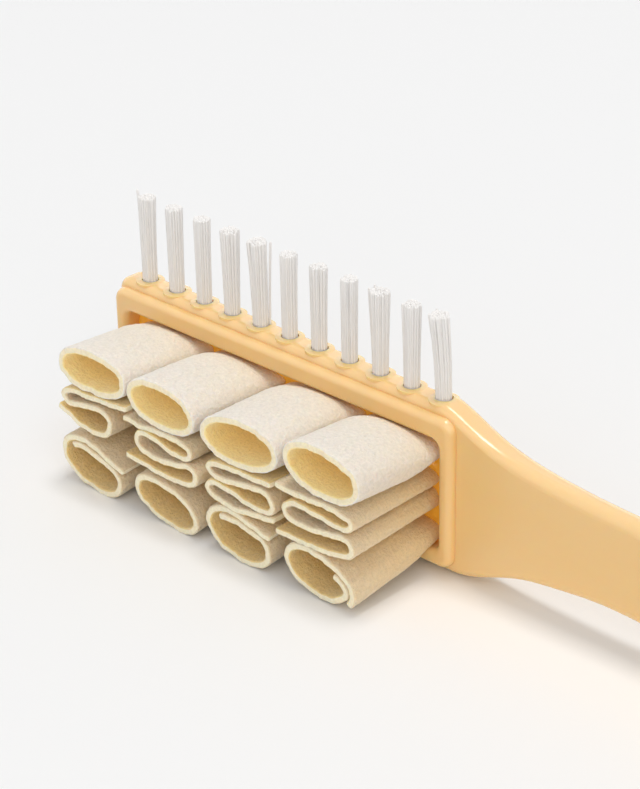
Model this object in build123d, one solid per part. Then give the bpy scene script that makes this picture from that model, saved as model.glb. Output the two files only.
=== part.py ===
"""Suede and nubuck shoe brush: crepe rubber on one side, nylon tufts on the edge, one moulded handle.

Millimetres. +X runs along the brush towards the handle, -Y is the crepe side, +Z is the bristle side.
The origin is the middle of the brush's box, at the level that the brush stands on. Until save() moves
them there, shapes are drawn from the middle of the crepe, with Y = 0 on the front of the rim.
"""
from build123d import *
import math
import os

# --- Driving dimensions -------------------------------------------------------------------------
BRUSH_LENGTH = 170.0            # tip of the head to the end of the handle
REST_LEVEL = 12.5               # what the brush stands on, below the middle of the head

SLAB_HALF_HEIGHT = 12.15        # the flat body of the head
SLAB_LEFT = -32.5
SLAB_FRONT = 1.25               # behind the front of the rim
SLAB_BACK = 5.4
SLAB_CORNER_RADIUS = 1.9
SLAB_EDGE_RADIUS = 1.2

RIM_MIDDLE = -0.6               # along X, from the middle of the crepe
RIM_HALF_LENGTH = 31.65
RIM_HALF_HEIGHT = 11.0
RIM_BEAD_WIDTH = 2.25           # at the ends and the bottom
TOP_BEAD_WIDTH = 3.3
RIM_CORNER_RADIUS = 1.9
RIM_EDGE_RADIUS = 1.0

POCKET_DEPTH = 4.2
POCKET_CORNER_RADIUS = 1.3
GLUE_THICKNESS = 1.2

CREPE_COLUMNS = 4
CREPE_PITCH = 14.2              # between the columns
CREPE_LENGTH = 14.6             # from the front of the rim to the open ends
CREPE_THICKNESS = 0.9
ROOT_HALF_WIDTH = 6.0
ROOT_HALF_HEIGHT = 0.75         # a roll is pinched nearly flat where the adhesive holds it
SHOULDER_DEPTH = 1.2            # behind the front of the rim, where a roll opens out from its root

FOLD_HALF_WIDTH = 5.9           # the middle strip of each column, folded to and fro
FOLD_TOP = 2.15
FOLD_BOTTOM = -4.9
FOLD_WALLS = 4
FOLD_BEND_RADIUS = 0.9          # at the middle of the strip's thickness

TUFT_COUNT = 11
TUFT_MIDDLE = -0.35             # along X, from the middle of the crepe
TUFT_PITCH = 5.5
TUFT_RADIUS = 1.15
TUFT_SPREAD = 1.15              # how much wider a tuft is at its tips
FIRST_TUFT_HEIGHT = 13.05       # above the edge of the slab, at the head's tip
LAST_TUFT_HEIGHT = 11.95        # and beside the handle
TUFT_DEPTH = 2.9                # below the edge of the slab
TUFT_SETBACK = 3.4              # behind the front of the rim
COLLAR_RADIUS = 2.05            # low swelling of the slab around each tuft
COLLAR_HEIGHT = 0.22
ANCHOR_SIZE = (2.7, 0.3, 1.0)   # flat metal anchor that pins a folded tuft
ANCHOR_LIFT = 0.2               # above the bottom of the tuft's hole

HANG_HOLE_RADIUS = 2.5
HANG_HOLE_INSET = 11.0          # from the end of the handle
GRIP_END_RADIUS = 11.0
GRIP_END_STEPS = (0.0, 0.32, 0.58, 0.78, 0.91, 0.98)    # shares of the radius, one section at each

CLEARANCE = 0.05                # between a piece and the hole that it sits in

# Sections of the neck and grip: distance from the middle of the head, lower edge, upper edge,
# back face and corner radius. The front face stays level with the front of the slab.
HANDLE_SECTIONS = [
    (26.0, -SLAB_HALF_HEIGHT, SLAB_HALF_HEIGHT, SLAB_BACK, SLAB_EDGE_RADIUS),
    (31.0, -11.95, 11.45, SLAB_BACK, 1.2),
    (35.5, -10.75, 9.5, 5.3, 1.2),
    (41.0, -8.8, 8.1, 5.1, 1.35),
    (47.0, -7.8, 7.4, 4.9, 1.5),
    (54.0, -7.15, 6.95, 4.75, 1.6),
    (62.0, -7.4, 6.7, 4.7, 1.65),
    (78.0, -9.3, 6.6, 4.8, 1.65),
    (97.0, -11.3, 6.8, 5.0, 1.7),
    (112.0, -REST_LEVEL + 0.35, 7.1, 5.1, 1.7),
]

# Which end of the middle strip's top wall is the strip's free edge, left to right: 1 is the right.
FOLD_SIDES = [1, -1, 1, -1]

# The open ends of the rolls, left to right: middle along X from the column's own, middle height,
# half width and half height.
TOP_ENDS = [(0.1, 6.1, 6.8, 3.2), (-0.45, 5.75, 6.6, 3.4), (0.1, 5.5, 7.1, 3.3), (0.6, 6.7, 6.7, 3.6)]
BOTTOM_ENDS = [
    (-1.0, 3.6 - REST_LEVEL, 6.1, 3.6),
    (-0.2, 3.2 - REST_LEVEL, 6.3, 3.2),
    (-0.5, 3.6 - REST_LEVEL, 6.1, 3.6),
    (0.1, 3.5 - REST_LEVEL, 6.3, 3.5),
]

# The rolls over and under the middle strip: name, root height, half height at the shoulder, ends.
ROLLS = [
    ("top", 5.2, 2.1, TOP_ENDS),
    ("bottom", -6.95, 1.6, BOTTOM_ENDS),
]

# --- Places worked out from the dimensions --------------------------------------------------------
HANDLE_END = SLAB_LEFT + BRUSH_LENGTH
POCKET_HALF_LENGTH = RIM_HALF_LENGTH - RIM_BEAD_WIDTH
POCKET_HALF_HEIGHT = RIM_HALF_HEIGHT - (TOP_BEAD_WIDTH + RIM_BEAD_WIDTH) / 2
POCKET_MIDDLE = (RIM_MIDDLE, (RIM_BEAD_WIDTH - TOP_BEAD_WIDTH) / 2)
GLUE_FRONT = POCKET_DEPTH - GLUE_THICKNESS
SLAB_MIDDLE = (SLAB_FRONT + SLAB_BACK) / 2
GRIP_MIDDLE = (HANDLE_SECTIONS[-1][1] + HANDLE_SECTIONS[-1][2]) / 2
TO_FRAME = Pos(-(SLAB_LEFT + HANDLE_END) / 2, (CREPE_LENGTH - SLAB_BACK) / 2, REST_LEVEL)


def save(shape, node):
    """Move a shape from the head's own axes to the part's frame and write it as one node."""
    placed = TO_FRAME * shape
    placed.label = node
    export_step(placed, f"parts/{node}.step")


def box_between(low, high):
    """A box from its lowest to its highest corner."""
    size = [b - a for a, b in zip(low, high)]
    middle = [(a + b) / 2 for a, b in zip(low, high)]
    return Pos(*middle) * Box(*size)


def along_y(sketch, front, back):
    """A sketch drawn in X and Z, pushed from one depth to another."""
    return extrude(Plane.XZ.offset(-back) * sketch, back - front)


def column_x(column):
    return (column - (CREPE_COLUMNS - 1) / 2) * CREPE_PITCH


def tuft_x(index):
    return TUFT_MIDDLE + (index - (TUFT_COUNT - 1) / 2) * TUFT_PITCH


def tuft_height(index):
    """The tufts are trimmed to a slight slope along the head."""
    return FIRST_TUFT_HEIGHT + (LAST_TUFT_HEIGHT - FIRST_TUFT_HEIGHT) * index / (TUFT_COUNT - 1)


# --- Handle and head ------------------------------------------------------------------------------
def head_slab():
    """The flat body of the head, with rounded corners and edges, that the neck grows out of."""
    cut = HANDLE_SECTIONS[0][0]
    slab = box_between(
        (SLAB_LEFT, SLAB_FRONT, -SLAB_HALF_HEIGHT),
        (cut + 4.0, SLAB_BACK, SLAB_HALF_HEIGHT),
    )
    slab = fillet(slab.edges().filter_by(Axis.Y).group_by(Axis.X)[0], SLAB_CORNER_RADIUS)
    faces = slab.faces().sort_by(Axis.Y)
    edges = faces[0].edges() + faces[-1].edges()
    slab = fillet([edge for edge in edges if edge.center().X < cut + 3.0], SLAB_EDGE_RADIUS)
    reach = 2 * SLAB_HALF_HEIGHT
    return slab & box_between((SLAB_LEFT, 0, -reach), (cut, 2 * SLAB_BACK, reach))


def handle_section(x, low, high, back, radius):
    """One rounded section across the neck or grip."""
    middle = (x, (SLAB_FRONT + back) / 2, (low + high) / 2)
    plane = Plane(origin=middle, x_dir=(0, 1, 0), z_dir=(1, 0, 0))
    return plane * RectangleRounded(back - SLAB_FRONT, high - low, radius)


def grip_end_sections():
    """Sections that round the end of the handle off along a circle."""
    _, low, high, back, radius = HANDLE_SECTIONS[-1]
    start = HANDLE_END - GRIP_END_RADIUS
    sections = []
    for step in GRIP_END_STEPS:
        reach = (high - low) / 2 * math.sqrt(1 - step * step)
        x = start + step / GRIP_END_STEPS[-1] * GRIP_END_RADIUS
        corner = min(radius, 0.8 * reach)
        sections.append((x, GRIP_MIDDLE - reach, GRIP_MIDDLE + reach, back, corner))
    return sections


def neck_and_grip():
    sections = HANDLE_SECTIONS + grip_end_sections()
    return loft([handle_section(*section) for section in sections])


def rim():
    """The raised frame round the pocket, before the pocket is cut."""
    outline = RectangleRounded(2 * RIM_HALF_LENGTH, 2 * RIM_HALF_HEIGHT, RIM_CORNER_RADIUS)
    block = along_y(Pos(RIM_MIDDLE, 0) * outline, 0, SLAB_MIDDLE)
    return fillet(block.faces().sort_by(Axis.Y)[0].edges(), RIM_EDGE_RADIUS)


def pocket():
    """The recess that the crepe stands in."""
    outline = RectangleRounded(2 * POCKET_HALF_LENGTH, 2 * POCKET_HALF_HEIGHT, POCKET_CORNER_RADIUS)
    return along_y(Pos(*POCKET_MIDDLE) * outline, -1, POCKET_DEPTH)


def collar(index):
    """A low swelling of the slab's edge round one tuft."""
    radius = (COLLAR_RADIUS ** 2 + COLLAR_HEIGHT ** 2) / (2 * COLLAR_HEIGHT)
    top = SLAB_HALF_HEIGHT + COLLAR_HEIGHT
    ball = Pos(tuft_x(index), TUFT_SETBACK, top - radius) * Sphere(radius)
    post = Pos(tuft_x(index), TUFT_SETBACK, SLAB_HALF_HEIGHT) * Cylinder(COLLAR_RADIUS, 4 * COLLAR_HEIGHT)
    return ball & post


def tuft_hole(index):
    """The blind hole that a tuft is set in, with the cut that its anchor makes in the walls."""
    top = SLAB_HALF_HEIGHT + 1
    low = SLAB_HALF_HEIGHT - TUFT_DEPTH
    place = Pos(tuft_x(index), TUFT_SETBACK, (top + low) / 2)
    return place * Cylinder(TUFT_RADIUS + CLEARANCE, top - low) + tuft_anchor(index)


def hang_hole():
    place = Pos(HANDLE_END - HANG_HOLE_INSET, SLAB_MIDDLE, GRIP_MIDDLE) * Rot(90, 0, 0)
    return place * Cylinder(HANG_HOLE_RADIUS, 2 * SLAB_BACK)


def handle():
    """The one-piece moulding: head slab, rim, pocket, collars, neck, grip and hang hole."""
    body = head_slab() + neck_and_grip() + rim()
    for index in range(TUFT_COUNT):
        body += collar(index)
    body -= pocket()
    mouth = [edge for edge in body.edges() if abs(edge.center().Y) < CLEARANCE]
    body = fillet(mouth, RIM_EDGE_RADIUS)
    for index in range(TUFT_COUNT):
        body -= tuft_hole(index)
    return body - hang_hole()


# --- Crepe rubber and the adhesive that holds it ----------------------------------------------------
def oval(x, y, z, half_width, half_height):
    """A section across a roll at one depth."""
    return Plane(origin=(x, y, z), x_dir=(1, 0, 0), z_dir=(0, -1, 0)) * Ellipse(half_width, half_height)


def roll_root(column, root_z, gap=0.0):
    """The pinched root of a roll, from the front of the adhesive to the pocket floor."""
    section = Ellipse(ROOT_HALF_WIDTH + gap, ROOT_HALF_HEIGHT + gap)
    return along_y(Pos(column_x(column), root_z) * section, GLUE_FRONT - gap, POCKET_DEPTH - CLEARANCE + gap)


def crepe_roll(column, root_z, shoulder_height, ends):
    """One strip of crepe rolled into a tube, open at its end and pinched at its root."""
    root_x = column_x(column)
    shift, end_z, half_width, half_height = ends[column]
    end_x = root_x + shift
    outer = loft([
        oval(root_x, GLUE_FRONT, root_z, ROOT_HALF_WIDTH, ROOT_HALF_HEIGHT),
        oval(root_x, SHOULDER_DEPTH, root_z, ROOT_HALF_WIDTH, shoulder_height),
        oval(end_x, -CREPE_LENGTH, end_z, half_width, half_height),
    ], ruled=True)
    hollow_height = half_height - CREPE_THICKNESS
    inner = loft([
        oval(root_x, 0, root_z, ROOT_HALF_WIDTH - CREPE_THICKNESS, hollow_height / 2),
        oval(end_x, -CREPE_LENGTH, end_z, half_width - CREPE_THICKNESS, hollow_height),
    ])
    return outer + roll_root(column, root_z) - inner


def fold_section(column, thickness):
    """The middle strip's section: walls joined by bends at alternate ends, open at both its edges."""
    side = FOLD_SIDES[column]
    pitch = (FOLD_TOP - FOLD_BOTTOM - CREPE_THICKNESS) / (FOLD_WALLS - 1)
    reach = FOLD_HALF_WIDTH - CREPE_THICKNESS / 2
    corners = []
    for wall in range(FOLD_WALLS):
        z = FOLD_TOP - CREPE_THICKNESS / 2 - wall * pitch
        start = side * reach * (-1 if wall % 2 else 1)
        corners += [(start, z), (-start, z)]
    path = FilletPolyline(*corners, radius=FOLD_BEND_RADIUS)
    return Pos(column_x(column), 0) * trace(path, thickness)


def crepe_fold(column):
    """The middle strip of a column, folded to and fro between the two rolls."""
    return along_y(fold_section(column, CREPE_THICKNESS), -CREPE_LENGTH, POCKET_DEPTH - CLEARANCE)


def glue_bed():
    """Hot-melt adhesive poured over the pocket floor, round the roots of the crepe."""
    gap = CLEARANCE
    outline = RectangleRounded(
        2 * (POCKET_HALF_LENGTH - gap), 2 * (POCKET_HALF_HEIGHT - gap), POCKET_CORNER_RADIUS - gap
    )
    bed = along_y(Pos(*POCKET_MIDDLE) * outline, GLUE_FRONT, POCKET_DEPTH)
    for column in range(CREPE_COLUMNS):
        for _, root_z, *_ in ROLLS:
            bed -= roll_root(column, root_z, gap)
        fold = fold_section(column, CREPE_THICKNESS + 2 * gap)
        bed -= along_y(fold, GLUE_FRONT - gap, POCKET_DEPTH + gap)
    return bed


# --- Bristle tufts and their anchors ----------------------------------------------------------------
def tuft_anchor(index):
    """The flat of metal that a tuft is folded over, which bites into the walls of its hole."""
    low = SLAB_HALF_HEIGHT - TUFT_DEPTH + ANCHOR_LIFT
    return Pos(tuft_x(index), TUFT_SETBACK, low + ANCHOR_SIZE[2] / 2) * Box(*ANCHOR_SIZE)


def bristle_tuft(index):
    """One tuft of nylon filaments, folded over its anchor and slightly wider at the tips."""
    foot_height = TUFT_DEPTH + COLLAR_HEIGHT - CLEARANCE
    foot_top = SLAB_HALF_HEIGHT + COLLAR_HEIGHT
    spray_height = tuft_height(index) - COLLAR_HEIGHT
    foot = Pos(tuft_x(index), TUFT_SETBACK, foot_top - foot_height / 2) * Cylinder(TUFT_RADIUS, foot_height)
    spray = Pos(tuft_x(index), TUFT_SETBACK, foot_top + spray_height / 2)
    return foot + spray * Cone(TUFT_RADIUS, TUFT_RADIUS * TUFT_SPREAD, spray_height) - tuft_anchor(index)


def main():
    os.makedirs("parts", exist_ok=True)
    save(handle(), "handle")
    save(glue_bed(), "glue_bed")
    for column in range(CREPE_COLUMNS):
        for name, *sizes in ROLLS:
            save(crepe_roll(column, *sizes), f"crepe_roll_{name}_{column + 1}")
        save(crepe_fold(column), f"crepe_fold_{column + 1}")
    for index in range(TUFT_COUNT):
        save(bristle_tuft(index), f"bristle_tuft_{index + 1:02d}")
        save(tuft_anchor(index), f"tuft_anchor_{index + 1:02d}")


main()
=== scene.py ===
"""Looks of a suede and nubuck shoe brush, built round its fixed frame.

A moulded amber handle holds rolled and folded crepe rubber in a pocket, and nylon tufts on its edge.
Sizes are in millimetres and are turned to metres where a mesh is made. The head's own axes have
their origin in the middle of the crepe, on the front of the rim: +X towards the handle, -Y out of
the crepe and +Z towards the bristle tips.
"""

import logging
import math
import random
from dataclasses import dataclass
from enum import Enum

import bmesh
import bpy
from mathutils import Matrix, Vector, noise


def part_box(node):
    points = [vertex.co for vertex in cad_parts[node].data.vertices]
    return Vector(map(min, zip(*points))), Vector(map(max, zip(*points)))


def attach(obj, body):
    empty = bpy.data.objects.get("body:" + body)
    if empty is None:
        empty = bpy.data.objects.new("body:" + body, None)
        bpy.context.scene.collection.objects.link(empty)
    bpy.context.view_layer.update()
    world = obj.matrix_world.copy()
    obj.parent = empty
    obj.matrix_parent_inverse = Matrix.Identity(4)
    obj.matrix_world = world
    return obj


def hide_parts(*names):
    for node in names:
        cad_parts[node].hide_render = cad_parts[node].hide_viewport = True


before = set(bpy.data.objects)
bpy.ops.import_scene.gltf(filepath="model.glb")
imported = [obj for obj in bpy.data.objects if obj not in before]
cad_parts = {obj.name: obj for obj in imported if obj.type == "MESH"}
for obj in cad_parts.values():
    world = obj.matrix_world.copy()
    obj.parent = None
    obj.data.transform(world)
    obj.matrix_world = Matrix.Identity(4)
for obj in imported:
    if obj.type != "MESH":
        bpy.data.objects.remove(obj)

LOG = logging.getLogger("shoe_brush")
MM = 0.001
REST_LEVEL_MM = 12.5            # what the brush stands on, below the middle of the head
NOISE_SEED = 7                  # fixed, because noise vectors are otherwise seeded from the clock
COLUMNS = 4
TUFTS = 11
CREPE_END_MM = 14.6             # from the rim's front to the open ends of the crepe
ROOT_SHADE_MM = 1.5            # behind the rim's front, where the painted shade towards the crepe's root is at its darkest
OVERLAP_GAP_MM = 0.08           # between a roll's outer edge and the layer under it
WINDING_STEPS = 160             # points that a roll's outline is worked out at
TUFT_TIP_SHARE = 1.15           # a CAD tuft's width at its tips, as a share of that at its foot
GOLDEN_ANGLE = 137.508          # degrees between filaments, which spreads them evenly
MOTTLE_SHARE = 0.3              # how much the mottling shifts the crepe's colour along its length

# Sockets of a Mix node in its colour form, whose names it shares with its other forms.
COLOUR_A = 6
COLOUR_B = 7
COLOUR_RESULT = 2

Point = tuple[float, float]
Point3 = tuple[float, float, float]


# --- Small tools ----------------------------------------------------------------------------------
def linear(hex_colour: str) -> tuple[float, float, float, float]:
    """Turn an sRGB hex colour to a linear one.

    Args:
        hex_colour: Six hex digits, such as "efe8dc".

    Returns:
        Red, green, blue and an alpha of 1.
    """
    channels = [int(hex_colour[i:i + 2], 16) / 255 for i in (0, 2, 4)]
    curved = [c / 12.92 if c <= 0.04045 else ((c + 0.055) / 1.055) ** 2.4 for c in channels]
    return (curved[0], curved[1], curved[2], 1.0)


def smooth_step(value: float) -> float:
    """Ease from 0 to 1 as value goes from 0 to 1."""
    value = min(max(value, 0.0), 1.0)
    return value * value * (3 - 2 * value)


def mix(a: float, b: float, share: float) -> float:
    """Blend two numbers."""
    return a + (b - a) * share


def add_node(
    tree: bpy.types.NodeTree,
    kind: str,
    settings: dict[str, object] | None = None,
    links: dict[str, bpy.types.NodeSocket] | None = None,
) -> bpy.types.Node:
    """Add one node to a tree.

    Args:
        tree: The node tree.
        kind: The node's type, such as "ShaderNodeTexNoise".
        settings: Values by name, of the node's own settings or else of its input sockets.
        links: Output sockets by the name or place of the input that they feed.

    Returns:
        The new node.
    """
    node = tree.nodes.new(kind)
    for name, value in (settings or {}).items():
        if hasattr(node, name):
            setattr(node, name, value)
        else:
            node.inputs[name].default_value = value
    for name, socket in (links or {}).items():
        tree.links.new(socket, node.inputs[name])
    return node


def resample(points: list[Point], count: int) -> list[Point]:
    """Space points evenly along an open chain of straight runs.

    Args:
        points: The chain's corners.
        count: How many points to return.

    Returns:
        Evenly spaced points from one end of the chain to the other.
    """
    lengths = [math.dist(a, b) for a, b in zip(points, points[1:])]
    step = sum(lengths) / (count - 1)
    result = [points[0]]
    passed = 0.0
    run = 0
    for i in range(1, count - 1):
        while run < len(lengths) - 1 and passed + lengths[run] < i * step:
            passed += lengths[run]
            run += 1
        share = (i * step - passed) / lengths[run]
        a, b = points[run], points[run + 1]
        result.append((mix(a[0], b[0], share), mix(a[1], b[1], share)))
    return result + [points[-1]]


def smooth_curve(corners: list[Point], steps: int = 12) -> list[Point]:
    """Run a Catmull-Rom curve through given points.

    Args:
        corners: The points that the curve passes.
        steps: Points per stretch between two corners.

    Returns:
        Closely spaced points along the curve.
    """
    first = (2 * corners[0][0] - corners[1][0], 2 * corners[0][1] - corners[1][1])
    last = (2 * corners[-1][0] - corners[-2][0], 2 * corners[-1][1] - corners[-2][1])
    padded = [first, *corners, last]
    result = []
    for p0, p1, p2, p3 in zip(padded, padded[1:], padded[2:], padded[3:]):
        for i in range(steps):
            t = i / steps
            result.append(tuple(
                0.5 * (2 * b + (c - a) * t + (2 * a - 5 * b + 4 * c - d) * t * t
                       + (3 * b - a - 3 * c + d) * t ** 3)
                for a, b, c, d in zip(p0, p1, p2, p3)
            ))
    return result + [corners[-1]]


@dataclass(frozen=True)
class HeadPlace:
    """Where the head's own axes lie in the frame, in metres."""

    x: float
    y: float
    z: float

    @classmethod
    def from_frame(cls) -> "HeadPlace":
        """Read the place from the crepe's outer columns, the rim and the level that it stands on."""
        first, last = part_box("crepe_fold_1"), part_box(f"crepe_fold_{COLUMNS}")
        rim_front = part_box("handle")[0].y
        return cls((first[0].x + last[1].x) / 2, rim_front, REST_LEVEL_MM * MM)

    def at(self, x: float, y: float, z: float) -> Vector:
        """Turn millimetres in the head's axes to metres in the frame."""
        return Vector((self.x + x * MM, self.y + y * MM, self.z + z * MM))


# --- Finishes -------------------------------------------------------------------------------------
@dataclass(frozen=True)
class MouldedPlastic:
    """Translucent polystyrene, injection moulded and polished: amber with a warm glow at thin edges."""

    name: str = "moulded_amber_polystyrene"
    colour: str = "f8d498"
    deep_colour: str = "f4c882"
    roughness: float = 0.22
    ior: float = 1.59
    depth_mm: float = 0.9
    flow_mm: float = 14.0

    def build(self) -> bpy.types.Material:
        """Make the material.

        Returns:
            A material with cloudy flow in its colour and faint moulding ripple in its gloss.
        """
        material = bpy.data.materials.new(self.name)
        material.use_nodes = True
        tree = material.node_tree
        tree.nodes.clear()
        place = add_node(tree, "ShaderNodeTexCoord")
        stretch = add_node(
            tree, "ShaderNodeMapping", {"Scale": (0.35, 1.0, 1.0)}, {"Vector": place.outputs["Object"]}
        )
        flow = add_node(
            tree, "ShaderNodeTexNoise",
            {"Scale": 1 / (self.flow_mm * MM), "Detail": 3.0, "Roughness": 0.5},
            {"Vector": stretch.outputs["Vector"]},
        )
        colour = add_node(tree, "ShaderNodeMix", {"data_type": "RGBA"}, {"Factor": flow.outputs["Fac"]})
        colour.inputs[COLOUR_A].default_value = linear(self.colour)
        colour.inputs[COLOUR_B].default_value = linear(self.deep_colour)
        ripple = add_node(
            tree, "ShaderNodeTexNoise", {"Scale": 1 / (5.0 * MM), "Detail": 2.0},
            {"Vector": place.outputs["Object"]},
        )
        bump = add_node(
            tree, "ShaderNodeBump", {"Strength": 0.12, "Distance": 0.05 * MM},
            {"Height": ripple.outputs["Fac"]},
        )
        wear = add_node(
            tree, "ShaderNodeMapRange",
            {"To Min": self.roughness - 0.04, "To Max": self.roughness + 0.08},
            {"Value": ripple.outputs["Fac"]},
        )
        shader = add_node(
            tree, "ShaderNodeBsdfPrincipled",
            {
                "IOR": self.ior,
                "Subsurface Weight": 1.0,
                "Subsurface Radius": (1.0, 0.75, 0.5),
                "Subsurface Scale": self.depth_mm * MM,
            },
            {
                "Base Color": colour.outputs[COLOUR_RESULT],
                "Roughness": wear.outputs["Result"],
                "Normal": bump.outputs["Normal"],
            },
        )
        add_node(tree, "ShaderNodeOutputMaterial", None, {"Surface": shader.outputs["BSDF"]})
        return material


@dataclass(frozen=True)
class HotMeltGlue:
    """Hot-melt adhesive poured and set: deep amber, glassy, with small lumps that catch the light."""

    name: str = "poured_hot_melt_adhesive"
    colour: str = "f2b348"
    deep_colour: str = "df9a22"
    roughness: float = 0.14
    painted_glow: float = 0.22              # painted glow: emission that stands in for light reaching it through the moulding behind

    def build(self) -> bpy.types.Material:
        """Make the material."""
        material = bpy.data.materials.new(self.name)
        material.use_nodes = True
        tree = material.node_tree
        tree.nodes.clear()
        place = add_node(tree, "ShaderNodeTexCoord")
        lumps = add_node(
            tree, "ShaderNodeTexNoise", {"Scale": 1 / (1.4 * MM), "Detail": 2.0, "Roughness": 0.6},
            {"Vector": place.outputs["Object"]},
        )
        colour = add_node(tree, "ShaderNodeMix", {"data_type": "RGBA"}, {"Factor": lumps.outputs["Fac"]})
        colour.inputs[COLOUR_A].default_value = linear(self.deep_colour)
        colour.inputs[COLOUR_B].default_value = linear(self.colour)
        bump = add_node(
            tree, "ShaderNodeBump", {"Strength": 0.8, "Distance": 0.35 * MM},
            {"Height": lumps.outputs["Fac"]},
        )
        shader = add_node(
            tree, "ShaderNodeBsdfPrincipled",
            {
                "Roughness": self.roughness,
                "IOR": 1.48,
                "Subsurface Weight": 0.5,
                "Subsurface Radius": (1.0, 0.7, 0.4),
                "Subsurface Scale": 0.5 * MM,
                "Emission Strength": self.painted_glow,
            },
            {
                "Base Color": colour.outputs[COLOUR_RESULT],
                "Emission Color": colour.outputs[COLOUR_RESULT],
                "Normal": bump.outputs["Normal"],
            },
        )
        add_node(tree, "ShaderNodeOutputMaterial", None, {"Surface": shader.outputs["BSDF"]})
        return material


class CrepeFace(Enum):
    """The kinds of surface on a strip of crepe, as lighter copies with painted light for the top rolls and
    darker copies with painted shade for the bottom rolls and folds.
    """

    DUSTED_LIT = "chalk_dusted_crepe_rubber_lit"
    # Painted shade: the dusted outside darkened for the bottom rolls and folds.
    SHADED_OUTSIDE = "crepe_rubber_painted_shade"
    INSIDE = "bare_crepe_rubber"
    # Painted light: a lighter copy of the bare inside, with a stronger painted glow, for the top rolls.
    LIT_INSIDE = "bare_crepe_rubber_painted_light"
    CUT = "knife_cut_crepe_rubber"


@dataclass(frozen=True)
class CrepeRubber:
    """Natural crepe rubber, sheeted and dusted with chalk.

    The dusted outside is nearly white and pebbled, the bare inside shows the rubber's own straw yellow and
    the light that comes through the wall, and the knife-cut edges are smooth and pale. An emission in the
    rubber's colour adds a painted glow to the light through the wall, and towards the root the colour
    darkens as painted shade.
    """

    face: CrepeFace
    near_colour: str
    shaded_root_colour: str
    roughness: float = 0.8
    pebble_mm: float = 0.45
    pebble_height_mm: float = 0.38
    depth_mm: float = 0.5
    # Painted glow: an emission in the rubber's own colour, added to the light through the wall.
    painted_glow: float = 0.0

    def build(self, place: HeadPlace) -> bpy.types.Material:
        """Make the material.

        Args:
            place: Where the head lies, for the painted shade that darkens the colour from the open end to
                the root.

        Returns:
            A pebbled, slightly translucent rubber.
        """
        material = bpy.data.materials.new(self.face.value)
        material.use_nodes = True
        tree = material.node_tree
        tree.nodes.clear()
        coordinates = add_node(tree, "ShaderNodeTexCoord")
        axes = add_node(tree, "ShaderNodeSeparateXYZ", None, {"Vector": coordinates.outputs["Object"]})
        # Painted shade: the colour darkens from the open end towards the root in the pocket.
        depth = add_node(
            tree, "ShaderNodeMapRange",
            {
                "From Min": place.at(0, -CREPE_END_MM, 0).y,
                "From Max": place.at(0, ROOT_SHADE_MM, 0).y,
            },
            {"Value": axes.outputs["Y"]},
        )
        mottle = add_node(
            tree, "ShaderNodeTexNoise", {"Scale": 1 / (2.2 * MM), "Detail": 4.0},
            {"Vector": coordinates.outputs["Object"]},
        )
        uneven = add_node(
            tree, "ShaderNodeMath", {"operation": "MULTIPLY_ADD"}, {0: mottle.outputs["Fac"]}
        )
        uneven.inputs[1].default_value = MOTTLE_SHARE
        uneven.inputs[2].default_value = -MOTTLE_SHARE / 2
        share = add_node(
            tree, "ShaderNodeMath", {"operation": "ADD", "use_clamp": True},
            {0: depth.outputs["Result"], 1: uneven.outputs[0]},
        )
        colour = add_node(tree, "ShaderNodeMix", {"data_type": "RGBA"}, {"Factor": share.outputs[0]})
        colour.inputs[COLOUR_A].default_value = linear(self.near_colour)
        colour.inputs[COLOUR_B].default_value = linear(self.shaded_root_colour)
        pebble = add_node(
            tree, "ShaderNodeTexNoise",
            {"Scale": 1 / (self.pebble_mm * MM), "Detail": 3.0, "Roughness": 0.6},
            {"Vector": coordinates.outputs["Object"]},
        )
        speckle = add_node(
            tree, "ShaderNodeMapRange", {"From Min": 0.3, "From Max": 0.7, "To Min": 0.9, "To Max": 1.05},
            {"Value": pebble.outputs["Fac"]},
        )
        dusted = add_node(
            tree, "ShaderNodeVectorMath", {"operation": "SCALE"},
            {"Vector": colour.outputs[COLOUR_RESULT], "Scale": speckle.outputs["Result"]},
        )
        bump = add_node(
            tree, "ShaderNodeBump", {"Strength": 0.9, "Distance": self.pebble_height_mm * MM},
            {"Height": pebble.outputs["Fac"]},
        )
        shader = add_node(
            tree, "ShaderNodeBsdfPrincipled",
            {
                "Roughness": self.roughness,
                "IOR": 1.52,
                "Specular IOR Level": 0.3,
                "Subsurface Weight": 1.0,
                "Subsurface Radius": (1.0, 0.85, 0.65),
                "Subsurface Scale": self.depth_mm * MM,
                "Sheen Weight": 0.2,
                "Sheen Roughness": 0.5,
                "Emission Strength": self.painted_glow,
            },
            {
                "Base Color": dusted.outputs["Vector"],
                "Emission Color": colour.outputs[COLOUR_RESULT],
                "Normal": bump.outputs["Normal"],
            },
        )
        add_node(tree, "ShaderNodeOutputMaterial", None, {"Surface": shader.outputs["BSDF"]})
        return material


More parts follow.
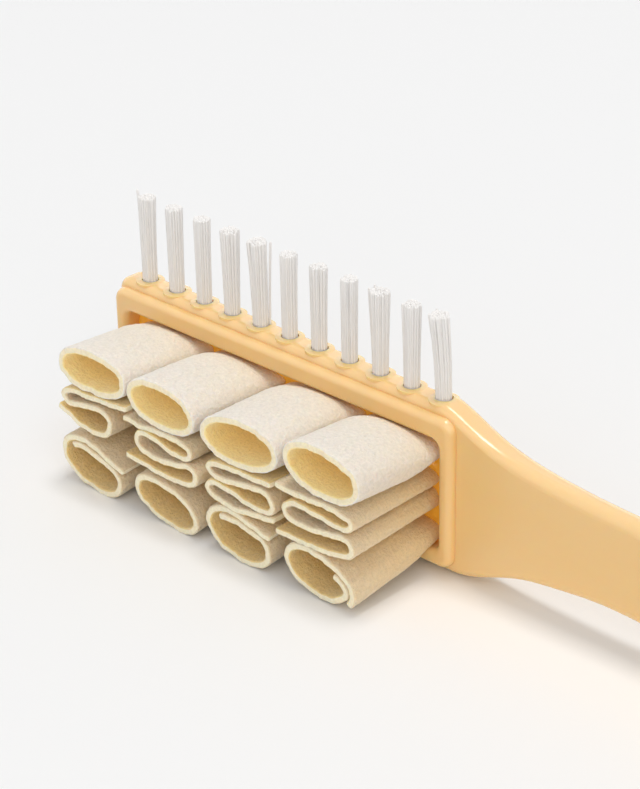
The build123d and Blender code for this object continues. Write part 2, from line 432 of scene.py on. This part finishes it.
@dataclass(frozen=True)
class NylonFilament:
    """Extruded white nylon monofilament: milky, with a satin shine along its length."""

    name: str = "extruded_white_nylon"
    colour: str = "f4f1ee"
    shade_colour: str = "ece9e6"
    roughness: float = 0.42

    def build(self) -> bpy.types.Material:
        """Make the material."""
        material = bpy.data.materials.new(self.name)
        material.use_nodes = True
        tree = material.node_tree
        tree.nodes.clear()
        place = add_node(tree, "ShaderNodeTexCoord")
        fine = add_node(
            tree, "ShaderNodeMapping", {"Scale": (1.0, 1.0, 0.08)}, {"Vector": place.outputs["Object"]}
        )
        streak = add_node(
            tree, "ShaderNodeTexNoise", {"Scale": 1 / (0.3 * MM), "Detail": 1.0},
            {"Vector": fine.outputs["Vector"]},
        )
        colour = add_node(tree, "ShaderNodeMix", {"data_type": "RGBA"}, {"Factor": streak.outputs["Fac"]})
        colour.inputs[COLOUR_A].default_value = linear(self.shade_colour)
        colour.inputs[COLOUR_B].default_value = linear(self.colour)
        shader = add_node(
            tree, "ShaderNodeBsdfPrincipled",
            {
                "Roughness": self.roughness,
                "IOR": 1.53,
                "Subsurface Weight": 0.3,
                "Subsurface Radius": (1.0, 0.97, 0.94),
                "Subsurface Scale": 0.12 * MM,
            },
            {"Base Color": colour.outputs[COLOUR_RESULT]},
        )
        add_node(tree, "ShaderNodeOutputMaterial", None, {"Surface": shader.outputs["BSDF"]})
        return material


@dataclass(frozen=True)
class AnchorSteel:
    """Cold-rolled steel strip, cut to length: grey with fine rolling lines."""

    name: str = "cold_rolled_steel_strip"
    colour: str = "b9b8b6"
    roughness: float = 0.35

    def build(self) -> bpy.types.Material:
        """Make the material."""
        material = bpy.data.materials.new(self.name)
        material.use_nodes = True
        tree = material.node_tree
        tree.nodes.clear()
        place = add_node(tree, "ShaderNodeTexCoord")
        lines = add_node(
            tree, "ShaderNodeMapping", {"Scale": (0.05, 1.0, 1.0)}, {"Vector": place.outputs["Object"]}
        )
        rolling = add_node(
            tree, "ShaderNodeTexNoise", {"Scale": 1 / (0.08 * MM)}, {"Vector": lines.outputs["Vector"]}
        )
        rough = add_node(
            tree, "ShaderNodeMapRange",
            {"To Min": self.roughness - 0.08, "To Max": self.roughness + 0.08},
            {"Value": rolling.outputs["Fac"]},
        )
        shader = add_node(
            tree, "ShaderNodeBsdfPrincipled", {"Metallic": 1.0, "Base Color": linear(self.colour)},
            {"Roughness": rough.outputs["Result"]},
        )
        add_node(tree, "ShaderNodeOutputMaterial", None, {"Surface": shader.outputs["BSDF"]})
        return material


# --- Crepe rubber ---------------------------------------------------------------------------------
@dataclass
class CrepeStrip:
    """A strip of crepe that runs from the pocket to its open end, made by pushing its outline along Y.

    Attributes:
        node: The CAD node that it stands for.
        column: Its column, from 0 at the left.
        pitch: Distance between columns.
        thickness: Thickness of the crepe.
        length: From the rim's front to the open end.
        points: Points along the outline.
        rows: Rows from the root to the open end.
        root_depth: Where the root starts, behind the rim's front.
        pinch_start: Where the strip starts to close towards its root, in the same way.
        seed: Seed of the waves in its edge.
        closed: Whether its two edges are stuck together so well that no seam shows.
        lip: Distance from the open end to the next row, which keeps the cut edge crisp.
        wall_wave: How far the wall wanders from its outline at the open end.
        edge_wave: How far the cut edge wanders to and fro.
        edge_nick: How deep the small nicks in the cut edge are.
    """

    node: str
    column: int
    pitch: float = 14.2
    thickness: float = 1.05
    length: float = 14.5
    points: int = 64
    rows: int = 13
    root_depth: float = 3.2
    pinch_start: float = -3.5
    seed: int = 1
    closed: bool = False
    lip: float = 0.22
    wall_wave: float = 0.08
    edge_wave: float = 0.22
    edge_nick: float = 0.16

    def middle_x(self) -> float:
        """Where the column's middle lies, in the head's axes."""
        return (self.column - (COLUMNS - 1) / 2) * self.pitch

    def outline(self) -> list[Point]:
        """The open end's outline in X and Z, from one edge of the strip to the other."""
        raise NotImplementedError

    def squeeze(self, x: float, z: float, y: float) -> Point:
        """Move one point of the outline to where it lies at another depth."""
        raise NotImplementedError

    def depths(self) -> list[float]:
        """Depths of the rows, closest together at the open end."""
        depths = [mix(self.root_depth, -self.length, i / (self.rows - 1)) for i in range(self.rows)]
        depths.insert(-1, -self.length + self.lip)
        return depths

    def row(self, y: float, outline: list[Point], place: HeadPlace) -> list[Vector]:
        """One row of the strip.

        Args:
            y: The row's depth.
            outline: The open end's outline.
            place: Where the head lies.

        Returns:
            A point in the frame for each point of the outline, with the crepe's own waviness.
        """
        open_share = smooth_step((-y) / self.length)
        row = []
        travelled = 0.0
        before = outline[0]
        for x, z in outline:
            travelled += math.dist(before, (x, z))
            before = (x, z)
            moved_x, moved_z = self.squeeze(x, z, y)
            wave = noise.noise_vector(Vector((travelled * 0.55, y * 0.22, self.seed * 7.3)))
            fine = noise.noise(Vector((travelled * 2.6, self.seed * 3.1, 0.0)))
            moved_x += wave.x * self.wall_wave * open_share
            moved_z += wave.z * self.wall_wave * open_share
            end_wave = (wave.y * self.edge_wave + fine * self.edge_nick) * open_share ** 4
            row.append(place.at(moved_x, y + end_wave, moved_z))
        return row

    def build(self, place: HeadPlace, materials: list[bpy.types.Material]) -> bpy.types.Object:
        """Push the outline along the strip and give it thickness.

        Args:
            place: Where the head lies.
            materials: Outside, inside and cut-edge finishes.

        Returns:
            The finished strip.
        """
        name = self.node + "_strip"
        outline = resample(self.outline(), self.points)
        if self.closed:
            outline.pop()
        mesh = bpy.data.meshes.new(name)
        work = bmesh.new()
        depths = self.depths()
        verts = [work.verts.new(point) for point in self.row(depths[0], outline, place)]
        edges = [work.edges.new(pair) for pair in self.neighbours(verts)]
        for y in depths[1:]:
            grown = bmesh.ops.extrude_edge_only(work, edges=edges)["geom"]
            fresh = {item for item in grown if isinstance(item, bmesh.types.BMVert)}
            verts = [
                next(edge.other_vert(vert) for edge in vert.link_edges if edge.other_vert(vert) in fresh)
                for vert in verts
            ]
            for vert, point in zip(verts, self.row(y, outline, place)):
                vert.co = point
            edges = [work.edges.get(pair) for pair in self.neighbours(verts)]
        self.face_outwards(work)
        for face in work.faces:
            face.smooth = True
        work.to_mesh(mesh)
        work.free()
        piece = bpy.data.objects.new(name, mesh)
        bpy.context.scene.collection.objects.link(piece)
        for material in materials:
            mesh.materials.append(material)
        self.finish_mesh(piece)
        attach(piece, "root")
        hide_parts(self.node)
        LOG.info("%s: %d faces before its modifiers", name, len(mesh.polygons))
        return piece

    def neighbours(self, verts: list[bmesh.types.BMVert]) -> list[tuple[bmesh.types.BMVert, ...]]:
        """Pair each vertex of a row with the next, and the last with the first if it's closed."""
        pairs = list(zip(verts, verts[1:]))
        return pairs + [(verts[-1], verts[0])] if self.closed else pairs

    def face_outwards(self, work: bmesh.types.BMesh) -> None:
        """Turn the sheet so that its normals point to the roll's outside."""

    def finish_mesh(self, piece: bpy.types.Object) -> None:
        """Give the sheet its thickness, round it off and pebble it."""
        wall = piece.modifiers.new("wall", "SOLIDIFY")
        wall.thickness = self.thickness * MM
        wall.offset = 0.0
        wall.use_even_offset = True
        wall.use_quality_normals = True
        wall.material_offset = 1
        wall.material_offset_rim = 2
        smooth = piece.modifiers.new("smooth", "SUBSURF")
        smooth.levels = 2
        smooth.render_levels = 2
        grain = bpy.data.textures.new(self.node + "_pebble", "CLOUDS")
        grain.noise_scale = 0.7 * MM
        grain.noise_depth = 1
        pebble = piece.modifiers.new("pebble", "DISPLACE")
        pebble.texture = grain
        pebble.texture_coords = "LOCAL"
        pebble.strength = 0.17 * MM
        pebble.mid_level = 0.5


@dataclass
class CrepeRoll(CrepeStrip):
    """A strip rolled into a wide tube, with its edges overlapping or stuck together.

    Attributes:
        centre: Middle of the open end, from the column's middle and the head's middle.
        half_width: Half the open end's width, to the middle of the crepe.
        half_height: Half its height.
        tilt: How far the oval leans, in degrees, anticlockwise.
        fullness: 2 for an oval; more for squarer shoulders.
        outer_edge: Angle of the strip's outer edge, in degrees anticlockwise from +X.
        turn: How far the strip runs round from there, in degrees, anticlockwise if positive.
        tail: Straight length that sticks out at the outer edge.
        dive_angle: How far before its outer edge the strip starts to turn in under it, in degrees.
        rim_centre: Where the middle lies at the rim.
        root_share: Height of the pinched root as a share of the open end's.
    """

    centre: Point = (0.0, 5.9)
    half_width: float = 5.8
    half_height: float = 3.0
    tilt: float = 0.0
    fullness: float = 2.2
    outer_edge: float = -120.0
    turn: float = 400.0
    tail: float = 0.0
    dive_angle: float = 70.0
    rim_centre: Point = (0.0, 5.3)
    root_share: float = 0.3

    def outline(self) -> list[Point]:
        """Wind the strip round its oval, and in under its own outer edge where it overlaps."""
        lean = math.radians(self.tilt)
        points = []
        for i in range(WINDING_STEPS + 1):
            travel = self.turn * i / WINDING_STEPS
            angle = math.radians(self.outer_edge + travel)
            dive = smooth_step((abs(travel) - (360 - self.dive_angle)) / self.dive_angle)
            inset = 0.0 if self.closed else (self.thickness + OVERLAP_GAP_MM) * dive
            c, s = math.cos(angle), math.sin(angle)
            x = (self.half_width - inset) * math.copysign(abs(c) ** (2 / self.fullness), c)
            z = (self.half_height - inset) * math.copysign(abs(s) ** (2 / self.fullness), s)
            points.append((
                self.centre[0] + x * math.cos(lean) - z * math.sin(lean),
                self.centre[1] + x * math.sin(lean) + z * math.cos(lean),
            ))
        if self.tail:
            (x0, z0), (x1, z1) = points[0], points[2]
            run = math.dist((x0, z0), (x1, z1))
            step_x, step_z = (x0 - x1) / run, (z0 - z1) / run
            tail = [(x0 + step_x * self.tail * k / 4, z0 + step_z * self.tail * k / 4) for k in (4, 3, 2, 1)]
            points = tail + points
        return points

    def squeeze(self, x: float, z: float, y: float) -> Point:
        """Pinch the tube towards its root, mostly inside the pocket."""
        inside = smooth_step((y - self.pinch_start) / (self.root_depth - self.pinch_start))
        along = min((y + self.length) / self.length, 1.0)
        middle_x = self.middle_x() + mix(self.centre[0], self.rim_centre[0], along)
        middle_z = mix(self.centre[1], self.rim_centre[1], along)
        height = mix(1.0, self.root_share, inside)
        return (middle_x + x - self.centre[0], middle_z + (z - self.centre[1]) * height)

    def face_outwards(self, work: bmesh.types.BMesh) -> None:
        """Turn the sheet over if its normals point to the axis of the roll."""
        work.normal_update()
        middle = Vector((0.0, 0.0, 0.0))
        for vert in work.verts:
            middle += vert.co
        middle /= len(work.verts)
        outward = sum(
            (face.calc_center_median() - middle).dot(face.normal) * face.calc_area() for face in work.faces
        )
        if outward < 0:
            bmesh.ops.reverse_faces(work, faces=work.faces[:])


@dataclass
class CrepeFold(CrepeStrip):
    """A strip folded to and fro between the two rolls of its column.

    Attributes:
        corners: Points that the open end's outline passes, from its upper free edge to its lower one,
            from the column's middle and the head's middle.
        root_z: Height that the fold closes towards at its root.
        root_share: Height of the root as a share of the open end's.
        root_width: Width of the root as a share of the open end's.
        root_reach: How far behind the rim's front the fold goes on closing.
    """

    corners: tuple[Point, ...] = ()
    root_z: float = -1.3
    root_share: float = 0.86
    root_width: float = 0.94
    root_reach: float = 3.0

    def outline(self) -> list[Point]:
        """Run a smooth curve through the given points."""
        return smooth_curve(list(self.corners))

    def squeeze(self, x: float, z: float, y: float) -> Point:
        """Close the fold a little towards its root and draw its free edges in."""
        inside = smooth_step((y + self.length) / (self.length + self.root_reach))
        height = mix(1.0, self.root_share, inside)
        width = mix(1.0, self.root_width, inside)
        return (self.middle_x() + x * width, self.root_z + (z - self.root_z) * height)


def top_rolls() -> list[CrepeRoll]:
    """The four rolls over the folds."""
    return [
        CrepeRoll("crepe_roll_top_1", 0, centre=(0.05, 6.3), half_width=6.3, half_height=2.8, tilt=2,
                  outer_edge=-60, turn=360, closed=True, rim_centre=(0.0, 5.3), seed=1),
        CrepeRoll("crepe_roll_top_2", 1, centre=(-0.5, 5.75), half_width=6.0, half_height=2.9, tilt=-3,
                  outer_edge=-150, turn=360, closed=True, rim_centre=(-0.2, 5.2), seed=2),
        CrepeRoll("crepe_roll_top_3", 2, centre=(0.05, 5.5), half_width=6.6, half_height=3.1, tilt=5,
                  outer_edge=-20, turn=360, closed=True, rim_centre=(0.0, 5.2), seed=3),
        CrepeRoll("crepe_roll_top_4", 3, centre=(0.55, 6.7), half_width=6.15, half_height=3.1, tilt=-4,
                  outer_edge=-60, turn=360, closed=True, rim_centre=(0.2, 5.3), seed=4),
    ]


def bottom_rolls() -> list[CrepeRoll]:
    """The four rolls that the brush stands on."""
    return [
        CrepeRoll("crepe_roll_bottom_1", 0, centre=(-1.0, -8.6), half_width=5.75, half_height=3.2,
                  tilt=-14, outer_edge=75, turn=440, tail=4.4, rim_centre=(-0.3, -7.1), seed=5),
        CrepeRoll("crepe_roll_bottom_2", 1, centre=(-0.2, -9.1), half_width=5.9, half_height=2.7,
                  tilt=-11, outer_edge=-40, turn=360, closed=True, rim_centre=(-0.1, -7.1), seed=6),
        CrepeRoll("crepe_roll_bottom_3", 2, centre=(-0.5, -8.7), half_width=5.6, half_height=3.15,
                  tilt=-9, outer_edge=75, turn=430, tail=3.8, rim_centre=(-0.1, -7.1), seed=7),
        CrepeRoll("crepe_roll_bottom_4", 3, centre=(0.1, -8.8), half_width=5.9, half_height=2.95,
                  tilt=-12, outer_edge=-25, turn=450, rim_centre=(0.2, -7.1), seed=8),
    ]


def folds() -> list[CrepeFold]:
    """The four folds, one in each column."""
    first = (
        (6.9, 3.0), (3.0, 2.6), (-1.0, 2.3), (-4.6, 2.1), (-6.0, 1.2), (-5.2, 0.0), (-2.0, 0.5),
        (1.6, 0.9), (3.2, -0.3), (2.6, -2.2), (0.6, -3.0), (-2.6, -2.7), (-5.4, -1.7), (-7.2, -0.9),
    )
    second = (
        (-8.0, 1.7), (-4.6, 1.4), (-0.8, 1.7), (2.6, 1.7), (4.9, 1.0), (4.2, -0.4), (1.2, -0.4),
        (-1.8, 0.4), (-4.4, 0.6), (-5.5, -0.5), (-4.9, -1.9), (-2.2, -2.6), (1.2, -2.3), (4.4, -1.6),
        (6.0, -2.5), (5.0, -4.0), (1.6, -4.6), (-3.0, -4.4), (-8.0, -4.0),
    )
    third = (
        (5.9, 1.5), (2.6, 1.3), (-1.4, 1.2), (-4.8, 0.9), (-5.9, 0.0), (-4.8, -0.9), (-1.4, -0.8),
        (2.2, -0.2), (4.9, -0.3), (6.1, -1.6), (5.0, -2.9), (1.6, -2.9), (-2.2, -2.1), (-4.9, -2.0),
        (-6.2, -3.1), (-5.0, -4.2), (-1.2, -4.6), (2.6, -4.2), (6.2, -3.7),
    )
    fourth = (
        (-7.6, 2.1), (-4.0, 1.8), (0.0, 2.1), (3.6, 2.0), (5.7, 1.1), (4.8, 0.0), (1.8, 0.0),
        (-1.8, 0.4), (-4.4, 0.4), (-6.0, -0.7), (-5.2, -2.0), (-2.2, -2.3), (1.6, -1.9), (4.4, -1.4),
        (6.0, -2.5), (5.0, -3.8), (1.6, -4.5), (-3.0, -4.8), (-7.6, -4.8),
    )
    return [
        CrepeFold(f"crepe_fold_{i + 1}", i, thickness=0.95, corners=corners, points=110, seed=11 + i)
        for i, corners in enumerate((first, second, third, fourth))
    ]


# --- Adhesive -------------------------------------------------------------------------------------
@dataclass
class GlueBed:
    """Set adhesive on the pocket floor, lumpy and drawn up at the walls."""

    name: str = "adhesive_bed"
    cells_x: int = 150
    cells_z: int = 46
    lift_mm: float = 0.25
    lump_mm: float = 0.45
    lumps_per_mm: float = 0.55
    meniscus_mm: float = 0.5        # how far it's drawn up at the walls
    meniscus_width_mm: float = 1.4

    def build(self, material: bpy.types.Material) -> bpy.types.Object:
        """Lump a grid over the pocket floor and close it to a slab."""
        low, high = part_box("glue_bed")
        work = bmesh.new()
        bmesh.ops.create_grid(work, x_segments=self.cells_x, y_segments=self.cells_z, size=0.5)
        size = high - low
        turn = Matrix.Rotation(math.radians(90), 4, "X")
        bmesh.ops.transform(work, matrix=turn, verts=work.verts)
        bmesh.ops.scale(work, vec=(size.x, 1.0, size.z), verts=work.verts)
        middle = Vector(((low.x + high.x) / 2, low.y, (low.z + high.z) / 2))
        bmesh.ops.translate(work, vec=middle, verts=work.verts)
        top = work.verts[:]
        rim = [edge for edge in work.edges if edge.is_boundary]
        side = bmesh.ops.extrude_edge_only(work, edges=rim)["geom"]
        for item in side:
            if isinstance(item, bmesh.types.BMVert):
                item.co.y = high.y
        bmesh.ops.holes_fill(work, edges=[edge for edge in work.edges if edge.is_boundary])
        for vert in top:
            x = (vert.co.x - low.x) / MM
            z = (vert.co.z - low.z) / MM
            edge = min(x, z, size.x / MM - x, size.z / MM - z)
            lump = noise.fractal(Vector((x * self.lumps_per_mm, z * self.lumps_per_mm, 4.0)), 0.7, 2.0, 3)
            drawn_up = 1 - smooth_step(edge / self.meniscus_width_mm)
            lift = self.lift_mm + self.lump_mm * lump + self.meniscus_mm * drawn_up
            vert.co.y -= lift * MM * smooth_step(edge / 0.25)
        bmesh.ops.recalc_face_normals(work, faces=work.faces)
        for face in work.faces:
            face.smooth = True
        mesh = bpy.data.meshes.new(self.name)
        work.to_mesh(mesh)
        work.free()
        piece = bpy.data.objects.new(self.name, mesh)
        bpy.context.scene.collection.objects.link(piece)
        mesh.materials.append(material)
        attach(piece, "root")
        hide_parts("glue_bed")
        LOG.info("adhesive bed: %d faces", len(mesh.polygons))
        return piece


# --- Bristles -------------------------------------------------------------------------------------
@dataclass
class BristleTuft:
    """One tuft of nylon filaments.

    Attributes:
        number: The tuft's number, from 1 at the head's tip.
        filaments: How many filaments it has.
        radius: Radius of one filament.
        spread: How much wider the tuft is at its tips than at its foot.
        lean: Lean along X at the tips.
        strays: Extra lean along X of single filaments that stand out of the tuft.
        sway: How far the tips stray from an even spread.
        trim: How unevenly the tips are cut.
        rounding: How much lower the outermost tips are.
        sides: Sides of a filament.
    """

    number: int
    filaments: int = 70
    radius: float = 0.19
    spread: float = 1.1
    lean: float = 0.0
    strays: tuple[float, ...] = ()
    sway: float = 0.07
    trim: float = 0.14
    rounding: float = 0.15
    sides: int = 6

    def build(self, material: bpy.types.Material) -> bpy.types.Object:
        """Grow each filament out of the tuft's hole.

        Args:
            material: The filaments' finish.

        Returns:
            The tuft as one mesh.
        """
        name = f"bristle_tuft_{self.number:02d}"
        low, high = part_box(name)
        centre = (low + high) / 2
        foot_radius = (high.x - low.x) / 2 / MM / TUFT_TIP_SHARE
        chance = random.Random(40 + self.number)
        work = bmesh.new()
        for i in range(self.filaments):
            share = math.sqrt((i + 0.5) / self.filaments)
            angle = i * math.radians(GOLDEN_ANGLE)
            reach = share * (foot_radius - self.radius)
            foot = Vector((math.cos(angle) * reach, math.sin(angle) * reach))
            splay = foot * (self.spread - 1) + Vector((self.lean, 0.0))
            splay += Vector((chance.gauss(0, self.sway), chance.gauss(0, self.sway)))
            drop = abs(chance.gauss(0, self.trim)) + self.rounding * share ** 4
            if i >= self.filaments - len(self.strays):
                stray = self.strays[i - self.filaments]
                splay.x += stray
                foot.x = math.copysign(foot_radius - self.radius, stray)
            self.filament(work, centre, low.z, high.z - drop * MM, foot, splay, chance)
        mesh = bpy.data.meshes.new(name + "_filaments")
        for face in work.faces:
            face.smooth = len(face.verts) == 4
        work.to_mesh(mesh)
        work.free()
        piece = bpy.data.objects.new(name + "_filaments", mesh)
        bpy.context.scene.collection.objects.link(piece)
        mesh.materials.append(material)
        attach(piece, "root")
        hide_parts(name)
        LOG.info("%s: %d filaments, %d faces", name, self.filaments, len(mesh.polygons))
        return piece

    def filament(
        self,
        work: bmesh.types.BMesh,
        centre: Vector,
        bottom: float,
        top: float,
        foot: Vector,
        splay: Vector,
        chance: random.Random,
    ) -> None:
        """Draw one filament up through its rings.

        Args:
            work: The tuft's mesh.
            centre: The tuft's middle, in metres.
            bottom: Height of the filament's lower end, in metres.
            top: Height of its tip, in metres.
            foot: Its place across the foot, in millimetres.
            splay: How far its tip lies from there, in millimetres.
            chance: The tuft's own random numbers.
        """
        ring = bmesh.ops.create_circle(
            work, segments=self.sides, radius=self.radius * MM, cap_ends=True
        )["verts"]
        turn = Matrix.Rotation(chance.uniform(0, math.pi), 4, "Z")
        bmesh.ops.transform(work, matrix=turn, verts=ring)
        start = Vector((centre.x + foot.x * MM, centre.y + foot.y * MM, bottom))
        bmesh.ops.translate(work, vec=start, verts=ring)
        cap = ring[0].link_faces[0]
        curl = chance.uniform(1.3, 2.4)
        before = 0.0
        for level in (0.25, 0.5, 0.75, 0.985, 1.0):
            cap = bmesh.ops.extrude_discrete_faces(work, faces=[cap])["faces"][0]
            now, past = level ** curl, before ** curl
            step = Vector((
                splay.x * (now - past) * MM,
                splay.y * (now - past) * MM,
                (top - bottom) * (level - before),
            ))
            bmesh.ops.translate(work, vec=step, verts=cap.verts[:])
            before = level
        middle = cap.calc_center_median()
        bmesh.ops.scale(work, vec=(0.6, 0.6, 1.0), space=Matrix.Translation(-middle), verts=cap.verts[:])


def tufts() -> list[BristleTuft]:
    """The eleven tufts, from the head's tip to the handle."""
    leans = {1: 0.15, 4: -0.1, 5: -0.35, 11: -1.0}
    strays = {1: (-2.0,), 5: (1.0,), 9: (-1.1, -0.7), 11: (-0.3,)}
    spreads = {4: 1.35, 5: 1.35, 9: 1.35, 11: 1.3}
    return [
        BristleTuft(
            number, lean=leans.get(number, 0.0), strays=strays.get(number, ()),
            spread=spreads.get(number, 1.15),
        )
        for number in range(1, TUFTS + 1)
    ]


# --- Carried-over parts ---------------------------------------------------------------------------
@dataclass(frozen=True)
class Handle:
    """The moulding and the anchors inside it, which keep their CAD shape."""

    node: str = "handle"

    def dress(self, plastic: bpy.types.Material, steel: bpy.types.Material) -> None:
        """Give the moulding and the tuft anchors their finishes."""
        self.assign(self.node, plastic)
        for number in range(1, TUFTS + 1):
            self.assign(f"tuft_anchor_{number:02d}", steel)

    @staticmethod
    def assign(node: str, material: bpy.types.Material) -> None:
        """Put one finish on every slot of a node."""
        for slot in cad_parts[node].material_slots:
            slot.material = material
        LOG.info("%s: dressed in %s", node, material.name)


# --- Studio ---------------------------------------------------------------------------------------
@dataclass(frozen=True)
class Studio:
    """A pale floor, soft light and the camera."""

    azimuth: float = 43.77
    elevation: float = 27.54
    roll: float = -1.03
    distance_mm: float = 332.9
    aim_mm: Point3 = (8.3, 0.0, 7.6)
    focal_widths: float = 3.906
    floor_size: float = 6.0
    room_light: float = 0.48
    room_gloss: float = 1.8         # the room's bright walls, where a gloss mirrors them
    lamps: tuple[tuple[str, Point3, float, float], ...] = (
        ("overhead", (60, 180, 1990), 0.5, 14.5),
        ("front_fill", (1500, -1800, 1800), 3.0, 28.0),
    )                               # name, place in the head's axes, size in metres and watts

    def build(self, place: HeadPlace) -> None:
        """Set up everything that isn't the object."""
        self.camera(place)
        self.floor()
        self.lights(place)

    def camera(self, place: HeadPlace) -> None:
        """Aim the camera at the head."""
        a, e, r = (math.radians(v) for v in (self.azimuth, self.elevation, self.roll))
        back = Vector((math.sin(a) * math.cos(e), -math.cos(a) * math.cos(e), math.sin(e)))
        right = Vector((math.cos(a), math.sin(a), 0.0))
        up = back.cross(right)
        turned_right = right * math.cos(r) + up * math.sin(r)
        turned_up = up * math.cos(r) - right * math.sin(r)
        data = bpy.data.cameras.new("camera")
        data.sensor_fit = "HORIZONTAL"
        data.sensor_width = 36.0
        data.lens = 36.0 * self.focal_widths
        data.clip_start = 0.01
        camera = bpy.data.objects.new("camera", data)
        bpy.context.scene.collection.objects.link(camera)
        position = place.at(*self.aim_mm) + back * self.distance_mm * MM
        axes = Matrix((turned_right, turned_up, back)).transposed().to_4x4()
        camera.matrix_world = Matrix.Translation(position) @ axes
        bpy.context.scene.camera = camera

    def floor(self) -> None:
        """Lay a white paper floor."""
        work = bmesh.new()
        bmesh.ops.create_grid(work, x_segments=1, y_segments=1, size=self.floor_size / 2)
        mesh = bpy.data.meshes.new("floor")
        work.to_mesh(mesh)
        work.free()
        floor = bpy.data.objects.new("floor", mesh)
        bpy.context.scene.collection.objects.link(floor)
        material = bpy.data.materials.new("white_studio_paper")
        material.use_nodes = True
        shader = material.node_tree.nodes["Principled BSDF"]
        shader.inputs["Base Color"].default_value = linear("f7f7f7")
        shader.inputs["Roughness"].default_value = 0.9
        shader.inputs["Specular IOR Level"].default_value = 0.1
        mesh.materials.append(material)

    def lights(self, place: HeadPlace) -> None:
        """Hang a soft light overhead and a wide one in front, in a room with pale walls."""
        world = bpy.data.worlds.new("studio")
        bpy.context.scene.world = world
        world.use_nodes = True
        tree = world.node_tree
        sky = tree.nodes["Background"]
        sky.inputs["Color"].default_value = (1.0, 1.0, 1.0, 1.0)
        rays = add_node(tree, "ShaderNodeLightPath")
        strength = add_node(
            tree, "ShaderNodeMapRange", {"To Min": self.room_light, "To Max": self.room_gloss},
            {"Value": rays.outputs["Is Glossy Ray"]},
        )
        tree.links.new(strength.outputs["Result"], sky.inputs["Strength"])
        middle = place.at(0, 0, 0)
        for name, position_mm, size, power in self.lamps:
            self.area_light(name, place.at(*position_mm), middle, size, power)
        bpy.context.scene.view_settings.view_transform = "Standard"

    @staticmethod
    def area_light(name: str, position: Vector, aim: Vector, size: float, power: float) -> None:
        """Hang one square light that faces a point."""
        data = bpy.data.lights.new(name, "AREA")
        data.size = size
        data.energy = power
        light = bpy.data.objects.new(name, data)
        bpy.context.scene.collection.objects.link(light)
        light.location = position
        light.rotation_euler = (aim - position).to_track_quat("-Z", "Y").to_euler()


def main() -> None:
    """Build the brush and its studio."""
    logging.basicConfig(level=logging.INFO, format="%(message)s")
    noise.seed_set(NOISE_SEED)
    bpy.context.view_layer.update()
    place = HeadPlace.from_frame()
    Studio().build(place)
    Handle().dress(MouldedPlastic().build(), AnchorSteel().build())
    GlueBed().build(HotMeltGlue().build())
    # Lit and shaded copies of one rubber: the top rolls get the lighter ones with painted light, the bottom
    # rolls and folds the darker ones with painted shade.
    dusted = CrepeRubber(CrepeFace.DUSTED_LIT, "f4ebdf", "f2e6d2").build(place)
    shaded_outside = CrepeRubber(CrepeFace.SHADED_OUTSIDE, "eddab8", "e6ca96").build(place)
    lit_inside = CrepeRubber(CrepeFace.LIT_INSIDE, "f4e0a4", "e8c26c", painted_glow=0.13).build(place)
    inside = CrepeRubber(CrepeFace.INSIDE, "ebd092", "d6aa58", painted_glow=0.04).build(place)
    cut = CrepeRubber(CrepeFace.CUT, "f8ebcc", "f8ebcc", pebble_height_mm=0.12, painted_glow=0.03).build(place)
    for strip in top_rolls():
        strip.build(place, [dusted, lit_inside, cut])
    for strip in bottom_rolls() + folds():
        strip.build(place, [shaded_outside, inside, cut])
    nylon = NylonFilament().build()
    for tuft in tufts():
        tuft.build(nylon)


if __name__ == "__main__":
    main()
